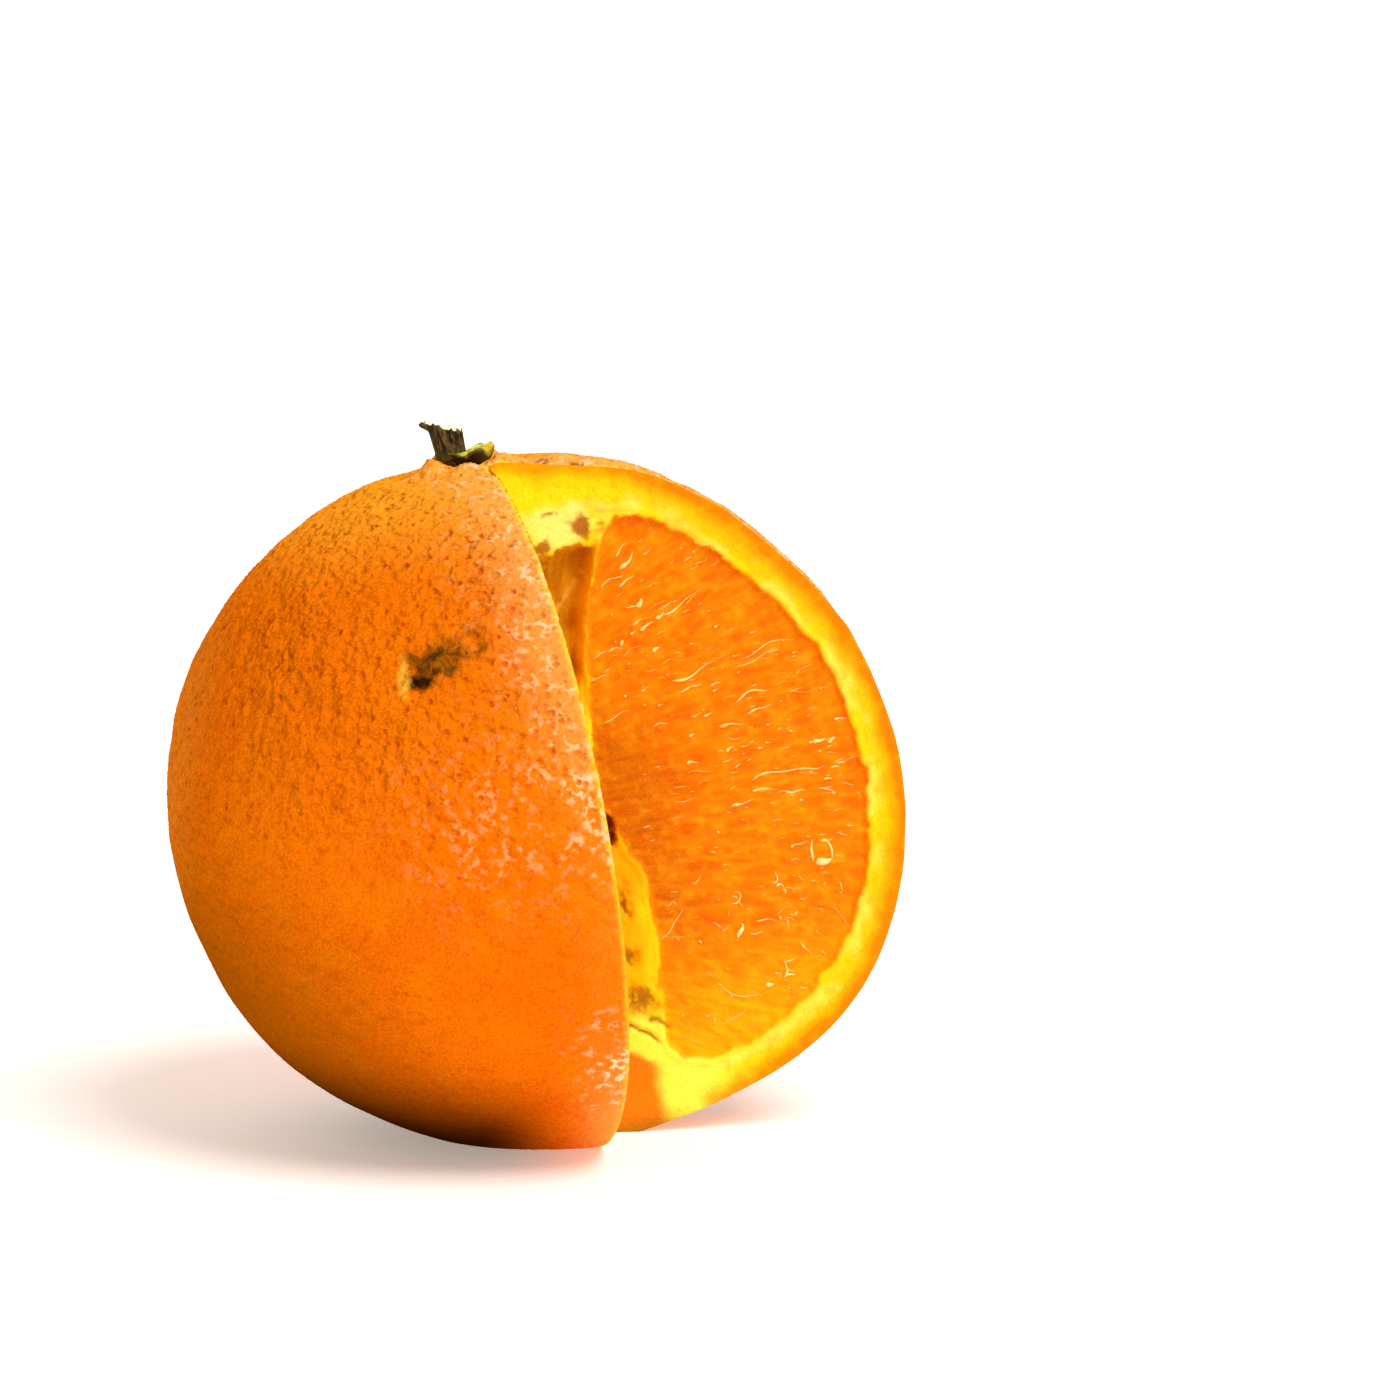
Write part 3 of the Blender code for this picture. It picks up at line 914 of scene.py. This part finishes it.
def face_mesh(cut_frame, rim, relief, grid):
    """Points and triangles of a cut face that ends exactly on the skin's rim."""
    origin, sideways, upward, facing = cut_frame
    steps = int(np.linalg.norm(rim[-1] - rim[0]) / APEX_STEP)
    share = np.linspace(1.0, 0.0, steps + 1)[1:-1, None]
    apex = rim[0] + (rim[-1] - rim[0]) * (1.0 - share[::-1])
    border = np.vstack([rim, apex[::-1]])
    flat_border = np.column_stack([(border - origin) @ sideways, (border - origin) @ upward])
    rng = np.random.default_rng(7)
    rows = np.arange(*FACE_HEIGHTS, grid * ROW_STEP)
    columns = np.arange(*FACE_REACHES, grid)
    along, up = np.meshgrid(columns, rows)
    along = along + np.where(np.arange(len(rows)) % 2 == 1, 0.5 * grid, 0.0)[:, None]
    inner = np.column_stack([along.ravel(), up.ravel()])
    inner += rng.uniform(-0.25, 0.25, inner.shape) * grid
    inner = inner[inside_border(inner, flat_border, 0.6 * grid)]
    flat = np.vstack([flat_border, inner])
    loop = list(range(len(flat_border)))
    found = geometry.delaunay_2d_cdt([Vector(p) for p in flat], [], [loop], 1, 1e-5, True)
    corners = [ids[0] for ids in found[3]]
    triangles = np.array([[corners[c] for c in face] for face in found[2]])
    fade = ramp(distance_to(flat, flat_border), 0.0, 0.6)
    height = relief(flat[:, 0], flat[:, 1]) * fade
    points = on_face(cut_frame, np.column_stack([flat, height]))
    points[:len(border)] = border
    a, b, c = (points[triangles[:, k]] for k in range(3))
    backward = (np.cross(b - a, c - a) @ facing) < 0.0
    triangles[backward] = triangles[backward][:, ::-1]
    return points, triangles, flat


def distance_to(points, border):
    nearest = np.full(len(points), OUT_OF_REACH)
    for corner in border:
        nearest = np.minimum(nearest, np.hypot(points[:, 0] - corner[0], points[:, 1] - corner[1]))
    return nearest


def inside_border(points, border, gap):
    """Points inside the closed border that keep a gap to its corners."""
    inside = np.zeros(len(points), dtype=bool)
    for (x0, y0), (x1, y1) in zip(border, np.roll(border, -1, axis=0)):
        if y0 == y1:
            continue
        spans = (points[:, 1] > min(y0, y1)) & (points[:, 1] <= max(y0, y1))
        crossing = x0 + (points[:, 1] - y0) * (x1 - x0) / (y1 - y0)
        inside ^= spans & (points[:, 0] < crossing)
    return inside & (distance_to(points, border) > gap)


# Pale threads and drops on the pulp

def sliver(middle, angle, length, width, head, bend, height_at):
    """Points and triangles of one curved thread with a thicker head, on a face."""
    stations = 9
    ring = 5
    t = np.linspace(0.0, 1.0, stations)
    turn = angle + bend * (t - 0.5) + 0.25 * np.sin(7.0 * t + 90.0 * width)
    step = length / (stations - 1)
    x = np.concatenate([[0.0], np.cumsum(np.cos(turn[1:]) * step)])
    y = np.concatenate([[0.0], np.cumsum(np.sin(turn[1:]) * step)])
    x += middle[0] - x.mean()
    y += middle[1] - y.mean()
    thick = width * (0.15 + 0.85 * np.sin(math.pi * t ** 0.8))
    thick = thick + head * bell(t - 0.2, 0.15)
    ground = height_at(x, y)
    around = 2.0 * math.pi * np.arange(ring) / ring
    side = 0.5 * thick[:, None] * np.cos(around)
    rise = 0.3 * thick[:, None] * np.sin(around) + 0.04
    points = np.stack([x[:, None] - np.sin(turn)[:, None] * side,
                       y[:, None] + np.cos(turn)[:, None] * side,
                       ground[:, None] + rise], axis=-1).reshape(-1, 3)
    triangles = []
    for k in range(stations - 1):
        for j in range(ring):
            a = k * ring + j
            b = k * ring + (j + 1) % ring
            triangles += [(a, b, b + ring), (a, b + ring, a + ring)]
    last = (stations - 1) * ring
    for j in range(1, ring - 1):
        triangles.append((0, j + 1, j))
        triangles.append((last, last + j, last + j + 1))
    return points, np.array(triangles)


def thread_set(seed, count, placed, height_at):
    """Slivers on the pulp: the placed ones, and many strewn ones that fan out."""
    rng = np.random.default_rng(seed)
    points = []
    triangles = []
    colours = []
    shapes = [(place[:2], math.radians(place[2])) + place[3:] for place in placed]
    while len(shapes) < count:
        along = rng.uniform(*THREAD_REACHES)
        up = rng.uniform(*THREAD_HEIGHTS)
        if pulp_margin(np.array([along]), np.array([up]))[0] < 0.9:
            continue
        reach = math.hypot(along - CORE_MIDDLE[0], up - CORE_MIDDLE[1])
        crowd = 0.15 + 0.85 * soft_step((reach - 5.0) / 14.0)
        crowd = crowd * (0.4 + 0.6 * bell(up - 4.0, 13.0))
        if rng.uniform() > crowd:
            continue
        low = float(ramp(-up, 4.0, 18.0))
        angle = math.atan2(up - FAN_CENTRE[1], along - FAN_CENTRE[0])
        angle += rng.normal(0.0, 0.17 + 0.6 * low)
        length = min(4.0, 0.25 + rng.gamma(1.2, 0.75 - 0.3 * low))
        width = rng.uniform(0.06, 0.12) + 0.12 * rng.uniform() ** 3
        head = rng.uniform(0.1, 0.35) if rng.uniform() < 0.3 else 0.0
        bend = rng.normal(0.0, 0.35 + 1.3 * low)
        shapes.append(((along, up), angle, length, width, head, bend))
    total = 0
    for number, shape in enumerate(shapes):
        local, faces = sliver(*shape, height_at)
        points.append(local)
        triangles.append(faces + total)
        total += len(local)
        pale = 0.9 if number < len(placed) else rng.uniform() ** 1.5
        tone = shade(255, 230, 146) * pale + shade(255, 172, 40) * (1.0 - pale)
        colours.append(np.tile(tone, (len(local), 1)))
    return np.vstack(points), np.vstack(triangles), np.vstack(colours)


def on_face(cut_frame, local):
    """From along, up and height on a cut face to the fruit's frame."""
    origin, sideways, upward, facing = cut_frame
    return origin + local[:, :1] * sideways + local[:, 1:2] * upward + local[:, 2:] * facing


def threads(name, cut_frame, relief, seed, placed, material):
    local, triangles, colours = thread_set(seed, THREAD_COUNT, placed, relief)
    points = on_face(cut_frame, local)
    return new_piece(name, to_part_frame(points), triangles, colours, material, "orange")


# Calyx and stem

def ball_grid(segments, rings):
    """A closed unit ball as points and triangles."""
    points = [(0.0, 0.0, 1.0)]
    for ring in range(1, rings):
        polar = math.pi * ring / rings
        for segment in range(segments):
            azimuth = 2.0 * math.pi * segment / segments
            points.append((math.sin(polar) * math.cos(azimuth),
                           math.sin(polar) * math.sin(azimuth), math.cos(polar)))
    points.append((0.0, 0.0, -1.0))
    triangles = []
    for segment in range(segments):
        after = (segment + 1) % segments
        triangles.append((0, 1 + segment, 1 + after))
        last = 1 + (rings - 2) * segments
        triangles.append((len(points) - 1, last + after, last + segment))
    for ring in range(rings - 2):
        start = 1 + ring * segments
        for segment in range(segments):
            a = start + segment
            b = start + (segment + 1) % segments
            triangles += [(a, a + segments, b + segments), (a, b + segments, b)]
    return np.array(points), np.array(triangles)


def calyx_piece(material):
    ball, triangles = ball_grid(140, 60)
    out = np.hypot(ball[:, 0], ball[:, 1])
    azimuth = np.arctan2(ball[:, 1], ball[:, 0])
    lobe = np.cos(CALYX_LOBES * azimuth)
    reach = CALYX_RADIUS + CALYX_LOBE * lobe
    reach = reach + 0.2 * noise(ball * 2.6, 0.7, 601) * out
    lift = CALYX_LIFT * out ** 3 * (0.25 + 0.25 * lobe)
    tip = ramp(out, 0.3, 0.85) * bell(azimuth + 0.05, 0.6)
    lift = lift + CALYX_SPOUT * tip
    crinkle = (0.14 + 0.16 * tip) * noise(ball * 2.6, 0.6, 611)
    crinkle = crinkle + 0.06 * noise(ball * 2.6, 0.25, 613)
    body = np.where(ball[:, 2] > 0.0, CALYX_HALF_THICKNESS + CURL_THICKNESS * tip,
                    CALYX_UNDERSIDE)
    upper = np.maximum(ball[:, 2], 0.0)
    rise = np.where(upper > 0.0, upper ** (1.0 - 0.5 * tip), ball[:, 2])
    height = body * rise + lift + crinkle
    reach = reach * (1.0 - 0.25 * np.clip(-ball[:, 2], 0.0, 1.0)) - 0.35 * tip
    points = np.column_stack([reach * ball[:, 0], reach * ball[:, 1], height])
    colours = plain((168, 182, 44), len(points))
    colours = mix(colours, (226, 226, 96), ramp(noise(points, 1.6, 619), -0.2, 0.6))
    colours = mix(colours, (120, 96, 24), ramp(noise(points, 0.9, 621), 0.2, 0.7))
    colours = mix(colours, (214, 180, 40), ramp(tip, 0.25, 0.7))
    rim = bell(ball[:, 2] + 0.02, 0.13)
    colours = mix(colours, (120, 84, 26), 0.7 * rim)
    # Dark underside: painted shade under the leaf
    colours = mix(colours, (46, 24, 12), ramp(-ball[:, 2], 0.0, 0.22) * (1.0 - 0.25 * tip))
    placed = to_part_frame(points + np.array(CALYX_CENTRE))
    return new_piece("calyx_leaf", placed, triangles, colours, material, "calyx")


def stem_piece(material):
    ball, triangles = ball_grid(160, 100)
    polar = np.arccos(np.clip(ball[:, 2], -1.0, 1.0))
    azimuth = np.arctan2(ball[:, 1], ball[:, 0])
    face = ramp(polar, 0.0, 0.9) ** 0.8
    climb = 1.0 - ramp(polar, 0.85, 2.5)
    under = ramp(math.pi - polar, 0.0, 0.6)
    radius = STEM_FOOT_RADIUS + (STEM_TOP_RADIUS - STEM_FOOT_RADIUS) * climb ** 1.5
    strips = 0.06 * noise(pair(azimuth * 6.0, climb * 1.2), 1.0, 631)
    strips = strips + 0.05 * noise(pair(azimuth * 14.0, climb * 2.0), 1.0, 633)
    on_side = ramp(polar, 0.6, 0.95)
    lip = bell(np.abs(azimuth) - math.pi, 0.34) * on_side
    frayed = 0.9 * lip * bell(climb - 0.94, 0.09)
    radius = (radius + strips * on_side + frayed) * face * under
    across = radius * np.cos(azimuth)
    deep = radius * np.sin(azimuth)
    height = climb * (STEM_HEIGHT - STEM_TOP_SLANT * across)
    lumps = noise(pair(across, deep), 0.45, 641)
    rim = bell(polar - 0.75, 0.3)
    height = height + 0.12 * lumps * climb + 0.2 * rim * ramp(lumps, -0.3, 0.6)
    height = height - 0.35 * lip * bell(climb - 0.94, 0.12)
    turn = np.array(Euler((0.0, STEM_LEAN, 0.0)).to_matrix())
    points = np.column_stack([across, deep, height]) @ turn.T + np.array(STEM_FOOT)
    colours = plain((108, 90, 50), len(points))
    grain = noise(pair(azimuth * 15.0, climb * 5.0), 1.0, 653)
    grain = grain + 0.6 * noise(pair(azimuth * 26.0, climb * 12.0), 1.0, 655)
    colours = mix(colours, (38, 26, 12), 0.62 + 0.7 * grain)
    colours = mix(colours, (92, 96, 24), 0.6 * ramp(-climb, -0.35, 0.0))
    top = ramp(-polar, -0.82, -0.7)
    colours = mix(colours, (250, 246, 205), top)
    return new_piece("stem_stub", to_part_frame(points), triangles, colours, material, "stem")


# Materials

def set_inputs(node, values):
    for key, value in values.items():
        node.inputs[key].default_value = value


def new_material(name):
    """A material and its main shader."""
    material = bpy.data.materials.new(name)
    material.use_nodes = True
    return material, material.node_tree.nodes["Principled BSDF"]


class Nodes:
    """A material's shader with its colour attribute and a fine grain."""

    def __init__(self, name, grain_size, grain_change):
        self.material, self.shader = new_material(name)
        self.tree = self.material.node_tree
        self.place = self.add("TexCoord", {}, {}, "Object")
        self.grain = self.noise(grain_size, 4.0)
        strength = self.range(self.grain, 0.25, 0.75, 1.0 - grain_change, 1.0 + grain_change)
        self.colour = self.add("VectorMath", {}, {0: self.attribute("tint", "Color"),
                                                  "Scale": strength}, "Vector", operation="SCALE")

    def add(self, kind, values, sources, output, **settings):
        """An output of a new node with these settings, fixed inputs and linked inputs."""
        node = self.tree.nodes.new("ShaderNode" + kind)
        for key, setting in settings.items():
            setattr(node, key, setting)
        set_inputs(node, values)
        for key, source in sources.items():
            self.tree.links.new(source, node.inputs[key])
        return node.outputs[output]

    def attribute(self, name, output="Fac"):
        return self.add("Attribute", {}, {}, output, attribute_name=name)

    def noise(self, size, detail=1.0, place=None):
        """Noise with bumps about size mm apart, or size thousandths of a unit of place."""
        return self.add("TexNoise", {"Scale": 1.0 / (size * MM), "Detail": detail},
                        {"Vector": place or self.place}, "Fac")

    def dots(self, size):
        """Distance to the middle of the nearest cell, for cells about size mm wide."""
        return self.add("TexVoronoi", {"Scale": 1.0 / (size * MM)}, {"Vector": self.place},
                        "Distance")

    def range(self, value, start, end, low=0.0, high=1.0, shape="LINEAR"):
        spread = {"From Min": start, "From Max": end, "To Min": low, "To Max": high}
        return self.add("MapRange", spread, {"Value": value}, "Result",
                        interpolation_type=shape)

    def product(self, first, second):
        return self.add("Math", {}, {0: first, 1: second}, "Value", operation="MULTIPLY")

    def total(self, first, second):
        return self.add("Math", {}, {0: first, 1: second}, "Value", operation="ADD")

    def tinted(self, factors):
        """The colour so far, with its red, green and blue multiplied."""
        return self.add("VectorMath", {1: factors}, {0: self.colour}, "Vector",
                        operation="MULTIPLY")

    def mixed(self, amount, under, over):
        """Colours under and over mixed. over is an output, or one linear colour."""
        fixed = {7: over} if isinstance(over, tuple) else {}
        linked = {} if fixed else {7: over}
        return self.add("Mix", fixed, {0: amount, 6: under, **linked}, 2, data_type="RGBA")

    def lay_on(self, amount, over):
        self.colour = self.mixed(amount, self.colour, over)

    def finish(self, roughness, specular, bump, height, relief=None):
        """Links all to the shader. height is in mm, and bump its strength from 0 to 1."""
        rough = self.range(self.grain, 0.0, 1.0, roughness - 0.1, roughness + 0.1)
        normal = self.add("Bump", {"Strength": bump, "Distance": height * MM},
                          {"Height": relief or self.grain}, "Normal")
        for name, source in (
                ("Base Color", self.colour), ("Roughness", rough), ("Normal", normal)):
            self.tree.links.new(source, self.shader.inputs[name])
        self.shader.inputs["Specular IOR Level"].default_value = specular
        return self.material


def rind_material():
    """Grainy rind with dimples, and pale specks between its pores where shine allows."""
    nodes = Nodes("rind", RIND_GRAIN, 0.26)
    pitting = nodes.attribute("pitting")
    spot = nodes.range(nodes.dots(DIMPLE_SPACING), 0.0, 0.46, 1.0, 0.0, "SMOOTHSTEP")
    uneven = nodes.range(nodes.noise(DIMPLE_GROUP), 0.35, 0.65, 0.3, 1.1)
    spot = nodes.product(spot, uneven)
    dimple = nodes.product(spot, pitting)
    # Dimple spots and pores a darker red: partly the pores' own colour, partly painted shade
    deep = nodes.tinted((0.94, 0.52, 0.5))
    nodes.lay_on(nodes.range(spot, 0.25, 0.9, 0.0, 0.5), deep)
    nodes.lay_on(nodes.range(nodes.attribute("pore"), 0.6, 1.5, 0.0, 0.2), deep)
    # Raised skin between the dimples paler: painted highlight
    raised = nodes.range(spot, 0.45, 0.05, 0.0, 0.75, "SMOOTHSTEP")
    light = nodes.tinted((1.06, 1.24, 1.7))
    nodes.lay_on(nodes.product(raised, pitting), light)
    # Pale specks between the pores: painted highlights, where shine allows
    between = nodes.range(dimple, 0.3, 0.05)
    specks = nodes.range(nodes.noise(SPECK_SIZE, 2.0), 0.5, 0.61)
    groups = nodes.range(nodes.noise(SPECK_GROUP), 0.4, 0.58, 0.0, 0.72)
    shine = nodes.product(groups, nodes.attribute("shine"))
    pale = tuple(shade(255, 220, 170)) + (1.0,)
    nodes.lay_on(nodes.product(nodes.product(specks, between), shine), pale)
    pit = nodes.range(dimple, 0.0, 0.9, 0.7, 0.0)
    fine = nodes.range(nodes.grain, 0.0, 1.0, 0.0, 0.2)
    swell = nodes.range(nodes.noise(SWELL_SIZE), 0.3, 0.7, 0.0, 0.9)
    pebble = nodes.range(nodes.noise(PEBBLE_SIZE), 0.3, 0.7, 0.0, 0.75)
    rough_parts = nodes.total(swell, nodes.product(pebble, pitting))
    relief = nodes.total(nodes.total(pit, fine), rough_parts)
    return nodes.finish(0.42, 0.0, 0.85, 0.5, relief)


def flesh_material():
    """Grainy pith; the pulp has streaks that run out from the core."""
    nodes = Nodes("flesh", FLESH_GRAIN, 0.16)
    fan = nodes.attribute("fan", "Vector")
    streak = nodes.range(nodes.noise(1000.0, 3.0, fan), 0.36, 0.64)
    streaked = nodes.mixed(streak, nodes.tinted((0.95, 0.87, 0.76)),
                           nodes.tinted((1.0, 1.1, 1.16)))
    nodes.lay_on(nodes.attribute("pulpy"), streaked)
    set_inputs(nodes.shader, {"Subsurface Weight": 0.1,
                              "Subsurface Radius": (1.0, 0.45, 0.1),
                              "Subsurface Scale": 1.2 * MM})
    return nodes.finish(0.4, 0.04, 0.5, 0.1)


def plain_material(name, grain_size, grain_change, roughness, specular, bump):
    nodes = Nodes(name, grain_size, grain_change)
    return nodes.finish(roughness, specular, bump, 0.1)


# Stage

def white_surface(name, strength, colour):
    material, shader = new_material(name)
    set_inputs(shader, {"Base Color": FLOOR_WHITE, "Roughness": 0.9, "Specular IOR Level": 0.1,
                        "Emission Color": colour, "Emission Strength": strength})
    return material


def board(name, corners, material):
    mesh = bpy.data.meshes.new(name)
    mesh.from_pydata(corners, [], [(0, 1, 2, 3)])
    mesh.materials.append(material)
    new_object(name, mesh)


def stage():
    low, high, back = -STAGE_REACH, STAGE_REACH, BACKDROP_AWAY
    board("floor", [(low, low, 0.0), (high, low, 0.0), (high, high, 0.0), (low, high, 0.0)],
          white_surface("floor_white", FLOOR_GLOW, FLOOR_GLOW_COLOUR))
    board("backdrop", [(low, back, 0.0), (high, back, 0.0), (high, back, high), (low, back, high)],
          white_surface("backdrop_white", 1.0, (1.0, 1.0, 1.0, 1.0)))


def sun(name, towards, strength, softness, colour):
    """An even light that comes from the direction towards."""
    data = bpy.data.lights.new(name, "SUN")
    data.energy = strength
    data.angle = softness
    data.color = colour
    light = new_object(name, data)
    light.rotation_euler = (-Vector(towards)).to_track_quat("-Z", "Y").to_euler()


def lights():
    world = bpy.data.worlds.new("soft_room")
    world.use_nodes = True
    set_inputs(world.node_tree.nodes["Background"],
               {"Color": ROOM_COLOUR, "Strength": ROOM_LIGHT})
    bpy.context.scene.world = world
    sun("key", KEY_DIRECTION, KEY_STRENGTH, KEY_SOFTNESS, (1.0, 0.99, 0.97))
    sun("front_fill", FILL_DIRECTION, FILL_STRENGTH, FILL_SOFTNESS, (1.0, 1.0, 1.0))
    bpy.context.scene.view_settings.view_transform = "Standard"


def camera():
    data = bpy.data.cameras.new("photo_view")
    data.sensor_width = SENSOR_WIDTH
    data.lens = PIXELS_PER_MM * CAMERA_DISTANCE * SENSOR_WIDTH / FRAME_PIXELS
    data.clip_start = 0.01
    data.clip_end = 20.0
    view = new_object("photo_view", data)
    back = Vector((0.0, -math.cos(CAMERA_DROP), math.sin(CAMERA_DROP)))
    view.location = (CAMERA_AIM + back * CAMERA_DISTANCE) * MM
    view.rotation_euler = (math.pi / 2.0 - CAMERA_DROP, 0.0, 0.0)
    bpy.context.scene.camera = view


def build():
    rind = rind_material()
    flesh = flesh_material()
    thread = plain_material("juice_thread", 0.3, 0.08, 0.35, 0.3, 0.2)
    leaf = plain_material("calyx", 0.3, 0.25, 0.6, 0.15, 0.6)
    bark = plain_material("stem", 0.25, 0.35, 0.8, 0.1, 0.8)

    rows, triangles = rind_mesh()
    skin = rows[:, :3]
    pore = rows[:, 3] * rind_roughness(skin) * ramp(cut_distance(skin), 0.3, 1.0)
    new_piece("orange_rind", to_part_frame(skin), triangles,
                      rind_colours(skin), rind, "orange",
                      {"shine": rind_shine(skin),
                       "pore": pore,
                       "pitting": rind_roughness(skin) - 0.15})
    far_rim, near_rim = notch_rims(rows, triangles)
    for name, cut_frame, rim, relief, paint, grid, seed in (
            ("orange_far_face", far_face_frame(), far_rim, far_relief, far_colours,
             FAR_FACE_GRID, FAR_SEED),
            ("orange_near_face", near_face_frame(), near_rim, near_relief, near_colours,
             NEAR_FACE_GRID, NEAR_SEED)):
        points, faces, flat = face_mesh(cut_frame, rim, relief, grid)
        along, up = flat.T
        new_piece(name, to_part_frame(points), faces, paint(along, up), flesh, "orange",
                  {"fan": fan_place(along, up),
                   "pulpy": ramp(ragged_margin(along, up, seed), 0.0, 0.4)})
    threads("far_threads", far_face_frame(), far_relief, 701, PLACED_THREADS, thread)
    threads("near_threads", near_face_frame(), near_relief, 702, (), thread)
    calyx_piece(leaf)
    stem_piece(bark)


build()
stage()
lights()
camera()
